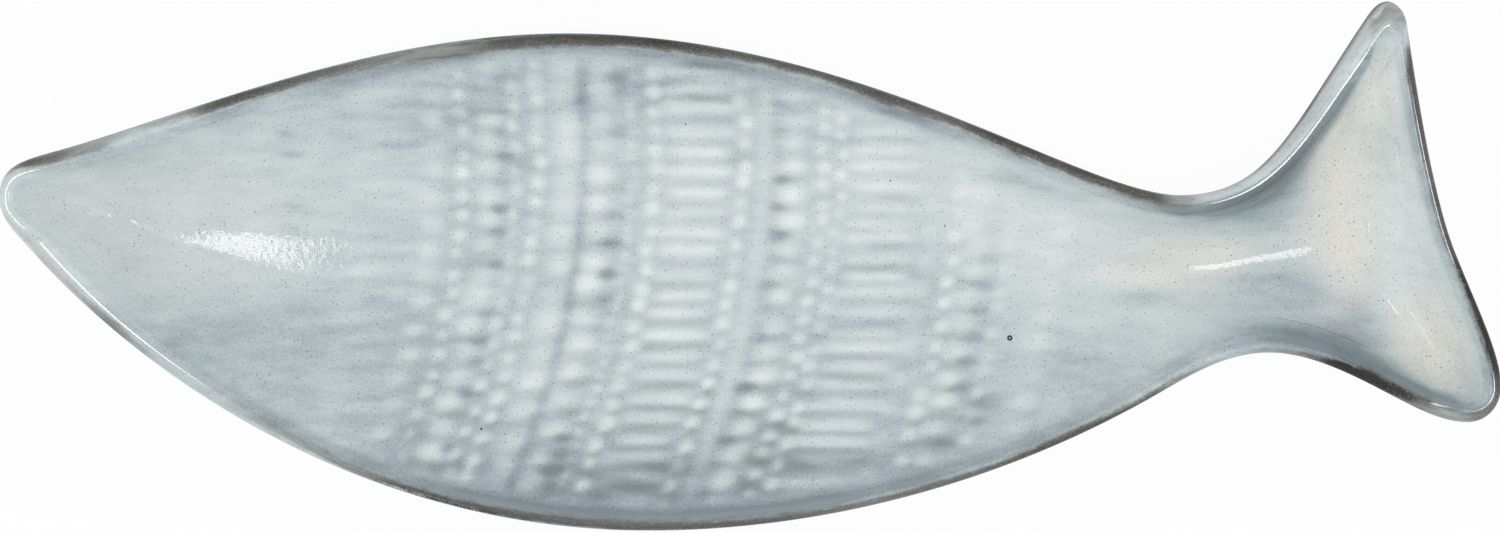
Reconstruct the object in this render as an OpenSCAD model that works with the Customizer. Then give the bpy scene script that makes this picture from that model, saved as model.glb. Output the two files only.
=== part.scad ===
// Fish-shaped serving platter of pressed stoneware, nose at -X, tail at +X, standing on Z = 0.
// The clay body and the glaze coats are lofted from one section, which runs from the underside
// over the lip into the well along rays from the fish outline to a forked spine inside it.

/* [Outline] */
// Length from the nose to the tail
fish_length = 360; // [300:1:440]
// Width from the highest tail tip to the belly
fish_width = 128; // [110:1:150]

/* [Dish] */
// Depth of the well below the rim at mid-body
well_depth = 16; // [11:0.5:20]
// Thickness of the clay floor at mid-body
floor_thickness = 5.5; // [4:0.25:8]
// Thickness of the rounded lip with its glaze
lip_width = 5.2; // [4:0.1:6.4]
// Extra height of the rim at the nose and at the tail
end_rise = 3; // [0:0.25:6]
// Clear half-width at which the well has most of its depth
depth_reach = 7.5; // [6:0.5:10]

/* [Foot] */
// Height of the foot ring
foot_height = 3; // [2:0.25:5]
// Width of the strip of clay that forms the foot ring
foot_strip = 5; // [3.5:0.25:7]
// Radius of the foot ring's lower edges
foot_round = 1.1; // [0.4:0.1:1.5]

/* [Glaze] */
// Thickness of the glaze coats
glaze_thickness = 0.6; // [0.3:0.05:0.9]
// Reach of the dark rim glaze from the lip into the well
rim_reach = 2.6; // [1.5:0.1:4]
// Bare clay between the edge of the outer glaze and the foot ring
bare_margin = 3; // [1:0.25:5]

/* [Hidden] */

// Lift of the underside that is left out, so that the sole is truly flat where the foot stands
flat_slack = 0.4;

// Proportion of length to width at which the outline's headings were drawn
drawn_share = 2.828;
// Outline, clockwise from the nose: place along the length and across the width, heading in
// degrees, handle lengths before and after the point, and lean of the outer wall: below zero the
// lip's crest lies nearer the edge
outline_shares = [
    [-0.5, 0.134, 90, 0.011, 0.02, -0.22],        // nose
    [-0.4666, 0.2195, 15, 0.0227, 0.09, 0.05],    // brow
    [-0.1231, 0.4415, 0, 0.1334, 0.195, 0],       // back
    [0.285, 0.1385, 0, 0.065, 0.0567, -0.1],      // upper waist
    [0.4052, 0.4604, 57, 0.0867, 0.008, 0.22],    // leading edge of the upper tail tip
    [0.4222, 0.5, 0, 0.0067, 0.0053, 0.45],       // upper tail tip
    [0.4325, 0.4604, -80, 0.0067, 0.0467, -0.25], // trailing edge of the upper tail tip
    [0.4608, 0.0868, -73, 0.0434, 0.036, -0.3],   // fork of the tail
    [0.5, -0.2208, -90, 0.0267, 0.0145, -0.2],    // trailing edge of the lower tail tip
    [0.478, -0.289, 180, 0.012, 0.016, 0.05],     // lower tail tip
    [0.434, -0.2475, 153, 0.0133, 0.03, 0],       // leading edge of the lower tail tip
    [0.3459, -0.1585, 180, 0.03, 0.03, 0],        // lower waist
    [0.2672, -0.245, 210, 0.0287, 0.105, 0],      // flank
    [-0.0697, -0.5, 180, 0.1268, 0.182, 0],       // belly
    [-0.484, 0.0491, 130, 0.1308, 0.012, 0.12]    // chin
];
// Steps drawn from each outline point to the next
steps = [4, 14, 14, 10, 3, 3, 6, 4, 4, 3, 8, 3, 11, 14, 4];
// Steps of the head, the tail stem and the two tail arms that belong to one side of the spine
head_steps = 3;
stem_steps = 5;
arm_steps = 3;

// Power of the curve from the lip down into the well, and of the one under it
well_power = 2.4;
wall_power = 1.35;
// Power of the rise of the rim toward both ends
rise_power = 4;
// Share of the way to the spine at which the wall meets the flat sole
sole_share = 0.5;
// Steps down the wall, from the sole up to the lip, and steps down the well
wall_shares = [1, 0.82, 0.56, 0.28];
well_shares = [0.16, 0.32, 0.5, 0.72];
// Angles of the lip's outer curve from below its widest point to the crest
lip_angles = [115, 90, 60, 30, 0];
// Fall of a leaning outer wall for its lean
lean_fall_share = 1.6;
// Largest share of the way to the spine that the rim glaze may take
rim_limit_share = 0.3;
// Start and end of the foot ring along the body's spine, and fullness of its oval
foot_start_share = 0.22;
foot_end_share = 0.83;
foot_power = 2.3;
foot_steps = 72;

// Clay sizes under the glaze
clay_lip = lip_width / 2 - glaze_thickness;
rim_height = foot_height + floor_thickness + well_depth;

// Places of the outline points among the drawn ones
function sum_to(list, n) = n == 0 ? 0 : list[n - 1] + sum_to(list, n - 1);
at = [for (n = [0 : len(steps)]) sum_to(steps, n)];
count = at[len(steps)];
rim_indices = [0 : count - 1];

function outline_point(n) = [outline_shares[n][0] * fish_length, outline_shares[n][1] * fish_width];
function handle(n, reach) = [
    cos(outline_shares[n][2]) * reach * fish_length,
    sin(outline_shares[n][2]) * reach * fish_width * drawn_share
];
function mix(a, b, t) = a + (b - a) * t;
function ease(t) = t * t * (3 - 2 * t);

// Four control points from outline point n to the next one
function controls(n) =
    let (m = (n + 1) % len(steps), a = outline_point(n), b = outline_point(m))
    [a, a + handle(n, outline_shares[n][4]), b - handle(m, outline_shares[m][3]), b];
function bezier(c, t) =
    pow(1 - t, 3) * c[0] + 3 * t * pow(1 - t, 2) * c[1] + 3 * t * t * (1 - t) * c[2] + t * t * t * c[3];
function bezier_heading(c, t) =
    pow(1 - t, 2) * (c[1] - c[0]) + 2 * t * (1 - t) * (c[2] - c[1]) + t * t * (c[3] - c[2]);

// Drawn outline: points, inward normals and lean of the wall
rim = [for (n = [0 : len(steps) - 1]) for (k = [0 : steps[n] - 1]) bezier(controls(n), k / steps[n])];
inward = [
    for (n = [0 : len(steps) - 1]) for (k = [0 : steps[n] - 1])
        let (h = bezier_heading(controls(n), k / steps[n])) [h[1], -h[0]] / norm(h)
];
lean = [
    for (n = [0 : len(steps) - 1]) for (k = [0 : steps[n] - 1])
        lip_width * mix(outline_shares[n][5], outline_shares[(n + 1) % len(steps)][5], ease(k / steps[n]))
];

// Drawn points where the body, the stem and the arms of the spine begin and end
body_top = at[1] + head_steps;
waist_top = at[3];
fork_top = waist_top + stem_steps;
upper_lead = fork_top + arm_steps;
fork_trail = at[7];
upper_trail = fork_trail - arm_steps;
lower_trail = fork_trail + arm_steps;
lower_lead = at[10];
fork_bottom = lower_lead + arm_steps;
waist_bottom = at[11];
body_bottom = at[14] - head_steps;

// Stations along the spine: the body from the head to the waist, the stem to the fork, two arms
waist = waist_top - body_top;
fork = waist + stem_steps;
upper_end = fork + arm_steps;
lower_end = upper_end + arm_steps;

function station(i) =
    i < body_top ? 0 :
    i <= waist_top ? i - body_top :
    i <= fork_top ? waist + i - waist_top :
    i < upper_lead ? fork + i - fork_top :
    i <= upper_trail ? upper_end :
    i <= fork_trail ? fork + fork_trail - i :
    i < lower_trail ? upper_end + i - fork_trail :
    i <= lower_lead ? lower_end :
    i < fork_bottom ? upper_end + fork_bottom - i :
    i <= waist_bottom ? waist + waist_bottom - i :
    i <= body_bottom ? body_bottom - i : 0;
stations = [for (i = rim_indices) station(i)];

function midway(i, j) = (rim[i] + rim[j]) / 2;
fork_point = (rim[fork_top] + rim[fork_trail] + rim[fork_bottom]) / 3;
waist_point = midway(waist_top, waist_bottom);
upper_point = midway(upper_lead, upper_trail);
lower_point = midway(lower_trail, lower_lead);
spine = concat(
    [for (k = [0 : waist]) midway(body_top + k, body_bottom - k)],
    [for (k = [1 : stem_steps]) mix(waist_point, fork_point, k / stem_steps)],
    [for (k = [1 : arm_steps]) mix(fork_point, upper_point, k / arm_steps)],
    [for (k = [1 : arm_steps]) mix(fork_point, lower_point, k / arm_steps)]
);

// Inset from the outline to the spine for each drawn point, and the least one for each station
reach = [for (i = rim_indices) (spine[stations[i]] - rim[i]) * inward[i]];
clear = [for (v = [0 : lower_end]) min([for (i = rim_indices) if (stations[i] == v) reach[i]])];

// Heights of the rim, of the well along the spine and of the underside below it
function rise(p) = end_rise * pow(abs(2 * p[0] / fish_length), rise_power);
function depth(v) = well_depth * (1 - exp(-pow((clear[v] - lip_width) / depth_reach, 2)));
crest = [for (i = rim_indices) rim_height + rise(rim[i])];
floor_top = [for (v = [0 : lower_end]) rim_height - depth(v)];
floor_under = [
    for (v = [0 : lower_end]) foot_height + max(0, floor_top[v] - floor_thickness - foot_height - flat_slack)
];

// Section of the clay at drawn point i, as insets and heights from the sole over the lip to the well
function lip_centre(i) = lip_width / 2 + lean[i];
function lip_curve(i, a) =
    let (run = lip_centre(i) - glaze_thickness, fall = clay_lip + max(0, lean[i]) * lean_fall_share)
    [lip_centre(i) - run * sin(a), crest[i] - fall * (1 - cos(a))];
function wall_curve(i, t) =
    let (a = lip_curve(i, lip_angles[0]), under = floor_under[stations[i]])
    [mix(a[0], sole_share * reach[i], t), under + (a[1] - under) * pow(1 - t, wall_power)];
function lip_turn(i) =
    let (fall = crest[i] - floor_top[stations[i]])
    atan2(well_power * fall, reach[i] - lip_centre(i));
function lip_inside(i, a) =
    [lip_centre(i) + clay_lip * sin(a), crest[i] - clay_lip * (1 - cos(a))];
function well_curve(i, t) =
    let (a = lip_inside(i, lip_turn(i)), low = floor_top[stations[i]])
    [mix(a[0], reach[i], t), low + (a[1] - low) * pow(1 - t, well_power)];
function rim_glaze_end(i) =
    let (run = reach[i] - lip_inside(i, lip_turn(i))[0])
    min(rim_reach / run, rim_limit_share);
function section(i) = concat(
    [for (t = wall_shares) wall_curve(i, t)],
    [for (a = lip_angles) lip_curve(i, a)],
    [lip_inside(i, lip_turn(i) / 2), lip_inside(i, lip_turn(i))],
    [for (t = concat([0], well_shares)) well_curve(i, mix(rim_glaze_end(i), 1, t))]
);
sections = [for (i = rim_indices) section(i)];
rings = len(sections[0]);
// Rings where the outer glaze meets the rim glaze, and the rim glaze the well glaze
rim_low = len(wall_shares);
rim_high = rings - len(well_shares) - 1;

// Outward direction of the section's surface at ring j
function before(i, j) = j == 0 ? [reach[i], sections[i][0][1]] : sections[i][j - 1];
function after(i, j) = j == rings - 1 ? [reach[i], floor_top[stations[i]]] : sections[i][j + 1];
function outward(i, j) =
    let (t = after(i, j) - before(i, j)) [-t[1], t[0]] / norm(t);

// Points in space: a ring at some cover over the clay, and the spine at given heights
function placed(i, p) =
    let (q = mix(rim[i], spine[stations[i]], p[0] / reach[i])) [q[0], q[1], p[1]];
function ring(j, cover) = [for (i = rim_indices) placed(i, sections[i][j] + outward(i, j) * cover)];
function ridge(heights, cover) = [for (v = [0 : lower_end]) [spine[v][0], spine[v][1], heights[v] + cover]];

// Triangles between two rings of points, and between a ring and the spine
function next(i, n) = (i + 1) % n;
function flip(faces) = [for (f = faces) [f[0], f[2], f[1]]];
function band(a, b, n) = [
    for (i = [0 : n - 1]) each [[a + i, b + next(i, n), b + i], [a + i, a + next(i, n), b + next(i, n)]]
];
function cap(a, s, first = 0, last = count - 1) = [
    for (i = [first : last])
        let (v = s + stations[i], w = s + stations[next(i, count)])
        each v == w ? [[a + i, a + next(i, count), v]]
            : [[a + i, w, v], [a + i, a + next(i, count), w]]
];
function bands(first, last) = [for (j = [first : last - 1]) each band(j * count, (j + 1) * count, count)];

module stoneware_shell() {
    points = concat(
        [for (j = [0 : rings - 1]) each ring(j, 0)], ridge(floor_top, 0), ridge(floor_under, 0)
    );
    tops = rings * count;
    color("tan")
        polyhedron(
            points,
            concat(bands(0, rings - 1), cap(tops - count, tops), flip(cap(0, tops + lower_end + 1)))
        );
}

module well_glaze() {
    layers = rings - rim_high;
    lower = layers * count + lower_end + 1;
    points = concat(
        [for (j = [rim_high : rings - 1]) each ring(j, glaze_thickness)],
        ridge(floor_top, glaze_thickness),
        [for (j = [rim_high : rings - 1]) each ring(j, 0)],
        ridge(floor_top, 0)
    );
    top = concat(bands(0, layers - 1), cap((layers - 1) * count, layers * count));
    color("lightsteelblue")
        polyhedron(
            points, concat(top, flip([for (f = top) f + [lower, lower, lower]]), band(lower, 0, count))
        );
}

module rim_glaze() {
    layers = rim_high - rim_low + 1;
    inner = layers * count;
    points = concat(
        [for (j = [rim_low : rim_high]) each ring(j, glaze_thickness)],
        [for (j = [rim_low : rim_high]) each ring(j, 0)]
    );
    skin = bands(0, layers - 1);
    color("saddlebrown")
        polyhedron(
            points,
            concat(
                skin,
                flip([for (f = skin) f + [inner, inner, inner]]),
                band(inner - count, 2 * inner - count, count),
                band(inner, 0, count)
            )
        );
}

// The outer coat ends at the edge of the body's sole, and goes on across the underside of the tail
module outer_glaze() {
    layers = rim_low + 1;
    inner = layers * count + lower_end + 1;
    points = concat(
        [for (j = [0 : rim_low]) each ring(j, glaze_thickness)],
        ridge(floor_under, -glaze_thickness),
        [for (j = [0 : rim_low]) each ring(j, 0)],
        ridge(floor_under, 0)
    );
    skin = concat(bands(0, layers - 1), flip(cap(0, layers * count, waist_top, waist_bottom - 1)));
    sole_edge = concat(
        [for (i = [waist_bottom : count - 1]) i], [for (i = [0 : waist_top]) i], [layers * count + waist]
    );
    color("slategray")
        polyhedron(
            points,
            concat(
                skin,
                flip([for (f = skin) f + [inner, inner, inner]]),
                band((layers - 1) * count, inner + (layers - 1) * count, count),
                [for (k = [0 : len(sole_edge) - 1])
                    let (a = sole_edge[k], b = sole_edge[next(k, len(sole_edge))])
                    each [[a, b + inner, b], [a, a + inner, b + inner]]]
            )
        );
}

// Oval path of the foot ring on the flat sole, at some offset outward from the middle of its strip
foot_setback = foot_strip / 2 + bare_margin;
function powered(x) = sign(x) * pow(abs(x), 2 / foot_power);
function body_edge(s) =
    let (k = min(floor(s), waist - 1)) mix(rim[body_top + k], rim[body_top + k + 1], s - k);
function body_spine(s) =
    let (k = min(floor(s), waist - 1)) mix(spine[k], spine[k + 1], s - k);
function foot_point(a) =
    let (
        along = mix(foot_start_share, foot_end_share, (1 - powered(cos(a))) / 2) * waist,
        side = body_edge(along) - body_spine(along),
        half = (1 - sole_share) * norm(side) - foot_setback
    )
    body_spine(along) + side / norm(side) * half * powered(sin(a));
foot_path = [for (k = [0 : foot_steps - 1]) foot_point(360 * (k + 0.5) / foot_steps)];
function foot_loop(offset) = [
    for (k = [0 : foot_steps - 1])
        let (t = foot_path[next(k, foot_steps)] - foot_path[(k + foot_steps - 1) % foot_steps])
        foot_path[k] + [-t[1], t[0]] / norm(t) * offset
];
function foot_ring_points(offset, z) = [for (p = foot_loop(offset)) [p[0], p[1], z]];

module foot_ring() {
    edge = foot_strip / 2;
    bevel = foot_round * (1 - cos(45));
    profile = [
        [edge, foot_height], [edge, foot_round], [edge - bevel, bevel], [edge - foot_round, 0],
        [foot_round - edge, 0], [bevel - edge, bevel], [-edge, foot_round], [-edge, foot_height]
    ];
    last = len(profile) - 1;
    color("burlywood")
        polyhedron(
            [for (p = profile) each foot_ring_points(p[0], p[1])],
            flip(concat(
                [for (j = [0 : last - 1]) each band(j * foot_steps, (j + 1) * foot_steps, foot_steps)],
                band(last * foot_steps, 0, foot_steps)
            ))
        );
}

stoneware_shell();
foot_ring();
well_glaze();
rim_glaze();
outer_glaze();
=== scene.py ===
import math

import bpy
import numpy as np
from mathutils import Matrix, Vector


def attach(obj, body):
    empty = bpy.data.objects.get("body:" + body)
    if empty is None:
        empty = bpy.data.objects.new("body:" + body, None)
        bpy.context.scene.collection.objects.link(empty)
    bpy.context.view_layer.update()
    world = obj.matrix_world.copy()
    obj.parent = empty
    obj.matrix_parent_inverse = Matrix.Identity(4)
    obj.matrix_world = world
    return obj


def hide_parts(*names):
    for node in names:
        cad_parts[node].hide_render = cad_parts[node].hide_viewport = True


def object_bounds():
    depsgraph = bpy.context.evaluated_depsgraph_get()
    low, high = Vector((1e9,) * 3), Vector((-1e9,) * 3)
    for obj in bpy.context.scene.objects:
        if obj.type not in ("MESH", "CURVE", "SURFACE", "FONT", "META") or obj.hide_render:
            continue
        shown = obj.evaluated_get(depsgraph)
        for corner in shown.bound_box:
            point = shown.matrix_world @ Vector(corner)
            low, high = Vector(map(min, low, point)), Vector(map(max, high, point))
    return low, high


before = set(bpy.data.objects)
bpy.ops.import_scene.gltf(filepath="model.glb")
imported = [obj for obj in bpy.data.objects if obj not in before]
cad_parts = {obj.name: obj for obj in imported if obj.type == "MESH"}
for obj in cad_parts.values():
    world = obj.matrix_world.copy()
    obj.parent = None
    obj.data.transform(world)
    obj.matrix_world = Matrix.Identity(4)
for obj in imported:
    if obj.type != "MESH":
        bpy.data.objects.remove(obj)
cadLow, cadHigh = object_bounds()
print("frame loaded:", sorted(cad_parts))

# sizes of the dish in metres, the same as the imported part's, with the powers and shares of its curves
dishForm = {
    "length": cadHigh.x - cadLow.x,
    "width": cadHigh.y - cadLow.y,
    "wellDepth": 0.016,
    "floorThickness": 0.0055,
    "lipWidth": 0.0052,
    "endRise": 0.003,
    "depthReach": 0.0075,
    "footHeight": 0.003,
    "glaze": 0.0006,
    "rimReach": 0.0026,
    "flatSlack": 0.0004,
    "wellPower": 2.4,
    "wallPower": 1.35,
    "lipPower": 2.8,
    "risePower": 4,
    "soleShare": 0.5,
    "leanFall": 1.6,
    "rimLimit": 0.3,
    "drawnShare": 2.828,
    "lipSweep": 115,
}

# outline clockwise from the nose: place along and across, heading, handles before and after,
# lean of the outer wall, below zero where the crest lies nearer the edge
fishOutline = [
    (-0.5, 0.134, 90, 0.011, 0.02, -0.22),        # nose
    (-0.4666, 0.2195, 15, 0.0227, 0.09, 0.05),    # brow
    (-0.1231, 0.4415, 0, 0.1334, 0.195, 0),       # back
    (0.285, 0.1385, 0, 0.065, 0.0567, -0.1),      # upper waist
    (0.4052, 0.4604, 57, 0.0867, 0.008, 0.22),    # leading edge of the upper tail tip
    (0.4222, 0.5, 0, 0.0067, 0.0053, 0.45),       # upper tail tip
    (0.4325, 0.4604, -80, 0.0067, 0.0467, -0.25), # trailing edge of the upper tail tip
    (0.4608, 0.0868, -73, 0.0434, 0.036, -0.3),   # fork of the tail
    (0.5, -0.2208, -90, 0.0267, 0.0145, -0.2),    # trailing edge of the lower tail tip
    (0.478, -0.289, 180, 0.012, 0.016, 0.05),     # lower tail tip
    (0.434, -0.2475, 153, 0.0133, 0.03, 0),       # leading edge of the lower tail tip
    (0.3459, -0.1585, 180, 0.03, 0.03, 0),        # lower waist
    (0.2672, -0.245, 210, 0.0287, 0.105, 0),      # flank
    (-0.0697, -0.5, 180, 0.1268, 0.182, 0),       # belly
    (-0.484, 0.0491, 130, 0.1308, 0.012, 0.12),   # chin
]
# finish of the lip round the outline: stretch and share of it, how dark its very edge is, partly a painted dark
# reflection, how far the glaze burns dark, where that starts and ends in mm from the crest, how thick the glaze
# pools inside, partly painted shade on the wall under the lip, and how wide in mm
lipFinish = [
    (0, 0.5, 0.15, -6, -0.9, 0.1, 1.5), (0.3, 0.6, 0.3, -6, -0.9, 0.1, 1.5),
    (0.5, 0.9, 0.75, -6, -0.8, 0.2, 1.2), (0.75, 0.8, 0.9, -6, -0.4, 0.25, 1.4),
    (1, 0.8, 0.85, -6, -0.2, 0.25, 1.8), (1.1, 0.75, 0.65, -6, -0.3, 0.22, 1.8),
    (1.2, 0.8, 0.35, -6, -1.2, 0.2, 2.2), (1.4, 0.8, 0.95, -6, -0.4, 0.35, 2),
    (1.5, 0.75, 0.9, -6, -0.2, 0.15, 2), (1.6, 0.7, 0.85, -6, -0.3, 0.3, 2.5),
    (1.7, 0.7, 0.75, -6, 0.1, 0.35, 3), (1.8, 0.75, 0.75, -6, 1, 0.4, 2.5), (1.9, 0.8, 0.95, -6, 0.5, 0.3, 1.5),
    (2, 0.9, 1, -6, 0.2, 0.3, 1.8), (2.1, 0.85, 1.02, -6, -0.2, 0.4, 2.2), (2.2, 0.85, 0.9, -6, -0.3, 0.4, 3),
    (2.3, 0.85, 0.9, -6, -0.6, 0.3, 1.5), (2.4, 0.8, 0.95, -6, 0.1, 0.5, 2.4),
    (2.5, 0.8, 0.9, -6, -0.2, 0.4, 2.5), (2.6, 0.9, 1, -6, 0.1, 0.4, 1.6), (2.7, 1, 0.98, -6, 0, 0.4, 1.6),
    (2.9, 0.9, 0.98, -6, 0.3, 0.45, 1.8), (3, 0.5, 0.65, -4, 0.2, 0.55, 4), (3.1, 0.5, 0.15, -6, -1, 0.8, 6.5),
    (3.3, 0.6, 0.06, -6, -1.2, 1.1, 9.5), (3.45, 0.9, 0.14, -6, -1, 1.1, 10),
    (3.7, 1, 0.28, -6, -0.8, 0.95, 8.5), (3.9, 0.9, 0.14, -6, -1, 0.65, 5), (4, 0.9, 0.25, -6, -1, 0.65, 3.4),
    (4.5, 0.95, 0.7, -3, -0.9, 0.45, 2.4), (5, 0.9, 0.6, -6, -0.4, 0.45, 2.4),
    (5.4, 0.9, 0.55, -6, 0.4, 0.35, 2), (5.75, 0.95, 0.6, -6, 0, 0.35, 2), (6, 1, 0.75, -6, -0.6, 0.4, 1.8),
    (6.2, 1, 1.02, -6, 0.7, 0.75, 2), (6.4, 1, 1.02, -6, 0.6, 0.7, 2.4), (6.7, 1, 0.97, -6, 0.5, 0.65, 2.4),
    (7, 1, 1, -6, 0.6, 0.65, 2.2), (7.3, 1, 1.06, -6, 0.3, 0.35, 1.8), (7.75, 1, 1.06, -6, 0.6, 0.45, 2),
    (8, 1, 1, -6, 0.5, 0.5, 1.8), (8.3, 1, 0.9, -6, 0.2, 0.3, 1.6), (8.75, 0.95, 0.8, -6, 0.3, 0.5, 3),
    (9.2, 0.6, 0.6, -6, 0.4, 0.75, 4.5), (9.75, 0.7, 0.8, -6, 0.6, 0.8, 5), (10, 0.85, 0.95, -6, 0.4, 0.8, 6),
    (10.2, 1, 1.15, -5, 0.1, 0.85, 6), (10.45, 1, 1.25, -5, -0.4, 0.7, 7),
    (10.65, 0.9, 0.85, -5, -0.8, 0.48, 7), (10.85, 0.75, 0.5, -4, -0.6, 0.4, 6.5),
    (11.25, 0.85, 0.2, -6, -1.4, 0.24, 5), (11.5, 0.6, 0.45, -4, -0.8, 0.25, 3),
    (11.75, 0.8, 0.7, -4, -0.8, 0.35, 3), (12, 0.9, 0.9, -5, -0.9, 0.25, 2.5),
    (12.2, 0.9, 0.95, -5, -0.4, 0.4, 2), (12.4, 0.95, 0.85, -5, -0.6, 0.35, 3),
    (12.6, 0.8, 0.8, -4, -0.5, 0.35, 2.5), (12.85, 0.72, 0.9, -2.5, -0.3, 0.4, 2),
    (13.1, 0.45, 0.9, -2.1, 0.2, 0.4, 2), (13.3, 0.5, 1, -1.8, -0.3, 0.3, 2),
    (13.4, 0.6, 0.7, -2.2, -0.2, 0.3, 2), (13.5, 0.25, 0.6, -1.6, 0.4, 0.35, 2.2),
    (13.62, 0.15, 0.08, -2, 0, 0.2, 2), (13.7, 0.3, 0.1, -6, -1, 0.08, 2),
    (13.8, 0.8, 0.75, -6, -0.9, 0.2, 1.5), (13.9, 0.8, 0.35, -6, -0.8, 0.1, 1.5),
    (14, 0.6, 0.3, -2.4, -0.3, 0.15, 1.5), (14.5, 0.6, 0.25, -2, -0.3, 0.12, 1.5),
    (15, 0.5, 0.15, -6, -0.9, 0.1, 1.5),
]

# stretches where the lip is fired dull and throws no light line, and how soon that sets in
lipDull = [(7.2, 7.9), (9.6, 11.45), (14.02, 14.4)]
dullEase = 0.04

# drawn steps of each stretch of the outline, and the finer ones along the body and the tail
outlineSteps = [4, 14, 14, 10, 3, 3, 6, 4, 4, 3, 8, 3, 11, 14, 4]
bodyStretches = (1, 2, 11, 12, 13)
bodyFine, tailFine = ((14, 5))
headSteps, stemSteps, armSteps = 3, 5, 3


def mix(a, b, t):
    return a + (b - a) * t


def ease(t):
    return t * t * (3 - 2 * t)


def soften(value, low, high):
    return ease(np.clip((value - low) / (high - low), 0, 1))


def dullBetween(place, first, last):
    begun = soften(place, first - dullEase, first + dullEase)
    return begun * (1 - soften(place, last - dullEase, last + dullEase))


def lipValues(place):
    rows = np.array(lipFinish)
    low = np.clip(np.searchsorted(rows[:, 0], place, "right") - 1, 0, len(rows) - 2)
    share = ease((place - rows[low, 0]) / (rows[low + 1, 0] - rows[low, 0]))
    dull = sum(dullBetween(place, first, last) for first, last in lipDull)
    return np.column_stack((mix(rows[low, 1:], rows[low + 1, 1:], share[:, None]), dull))


def drawOutline():
    # points, inward normals, lean and lip finish of the whole outline, and where each stretch starts
    form, points, inward, lean, finish, starts = dishForm, [], [], [], [], [0]
    for n, row in enumerate(fishOutline):
        after = fishOutline[(n + 1) % len(fishOutline)]
        ends = [np.array((r[0] * form["length"], r[1] * form["width"])) for r in (row, after)]
        handles = [
            np.array((
                math.cos(math.radians(r[2])) * reach * form["length"],
                math.sin(math.radians(r[2])) * reach * form["width"] * form["drawnShare"],
            ))
            for r, reach in ((row, row[4]), (after, after[3]))
        ]
        c = [ends[0], ends[0] + handles[0], ends[1] - handles[1], ends[1]]
        fine = outlineSteps[n] * (bodyFine if n in bodyStretches else tailFine)
        t = (np.arange(fine) / fine)[:, None]
        points.append(
            (1 - t) ** 3 * c[0] + 3 * t * (1 - t) ** 2 * c[1] + 3 * t * t * (1 - t) * c[2] + t ** 3 * c[3]
        )
        way = (1 - t) ** 2 * (c[1] - c[0]) + 2 * t * (1 - t) * (c[2] - c[1]) + t * t * (c[3] - c[2])
        way /= np.linalg.norm(way, axis=1)[:, None]
        inward.append(np.stack((way[:, 1], -way[:, 0]), 1))
        lean.append(form["lipWidth"] * mix(row[5], after[5], ease(t[:, 0])))
        finish.append(lipValues(n + t[:, 0]))
        starts.append(starts[-1] + fine)
    return [np.concatenate(v) for v in (points, inward, lean, finish)] + [starts]


rim, inward, lean, finish, starts = drawOutline()
count = len(rim)

# where the body, the stem and the arms of the spine begin and end on the outline
bodyTop = starts[1] + headSteps * bodyFine
waistTop = starts[3]
forkTop = waistTop + stemSteps * tailFine
upperLead = forkTop + armSteps * tailFine
forkTrail = starts[7]
upperTrail = forkTrail - armSteps * tailFine
lowerTrail = forkTrail + armSteps * tailFine
lowerLead = starts[10]
forkBottom = lowerLead + armSteps * tailFine
waistBottom = starts[11]
bodyBottom = starts[14] - headSteps * bodyFine
waist = waistTop - bodyTop
fork = waist + stemSteps * tailFine
upperEnd = fork + armSteps * tailFine
lowerEnd = upperEnd + armSteps * tailFine


def station(i):
    # place on the spine that outline point i runs to
    if i < bodyTop:
        return 0
    if i <= waistTop:
        return i - bodyTop
    if i <= forkTop:
        return waist + i - waistTop
    if i < upperLead:
        return fork + i - forkTop
    if i <= upperTrail:
        return upperEnd
    if i <= forkTrail:
        return fork + forkTrail - i
    if i < lowerTrail:
        return upperEnd + i - forkTrail
    if i <= lowerLead:
        return lowerEnd
    if i < forkBottom:
        return upperEnd + forkBottom - i
    if i <= waistBottom:
        return waist + waistBottom - i
    return bodyBottom - i if i <= bodyBottom else 0


stations = np.array([station(i) for i in range(count)])


def drawSpine():
    # line down the middle of the body, through the waist, forking into the two tail tips
    forkPoint = (rim[forkTop] + rim[forkTrail] + rim[forkBottom]) / 3
    waistPoint = (rim[waistTop] + rim[waistBottom]) / 2
    upperPoint = (rim[upperLead] + rim[upperTrail]) / 2
    lowerPoint = (rim[lowerTrail] + rim[lowerLead]) / 2
    stem, arm = stemSteps * tailFine, armSteps * tailFine
    return np.array(
        [(rim[bodyTop + k] + rim[bodyBottom - k]) / 2 for k in range(waist + 1)]
        + [mix(waistPoint, forkPoint, k / stem) for k in range(1, stem + 1)]
        + [mix(forkPoint, upperPoint, k / arm) for k in range(1, arm + 1)]
        + [mix(forkPoint, lowerPoint, k / arm) for k in range(1, arm + 1)]
    )


spine = drawSpine()
reach = ((spine[stations] - rim) * inward).sum(1)


def drawClear():
    # least inset at the part's own stations, eased from one to the next along the spine
    least = np.full(len(spine), 1.0)
    np.minimum.at(least, stations, reach)
    trunk = list(range(0, waist, bodyFine)) + list(range(waist, upperEnd + 1, tailFine))
    arm = [fork] + list(range(upperEnd + tailFine, lowerEnd + 1, tailFine))
    clear = np.interp(np.arange(upperEnd + 1), trunk, least[trunk])
    lower = np.interp(np.arange(upperEnd + 1, lowerEnd + 1), [upperEnd] + arm[1:], least[arm])
    clear = np.concatenate((clear, lower))
    for first, last in ((0, upperEnd), (upperEnd + 1, lowerEnd)):
        bell = np.hanning(2 * tailFine + 3)
        padded = np.pad(clear[first:last + 1], tailFine + 1, mode="edge")
        clear[first:last + 1] = np.convolve(padded, bell / bell.sum(), "valid")
    return clear


clear = drawClear()
lipCentre = dishForm["lipWidth"] / 2 + lean
clayLip = dishForm["lipWidth"] / 2 - dishForm["glaze"]
rimHeight = dishForm["footHeight"] + dishForm["floorThickness"] + dishForm["wellDepth"]


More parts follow.
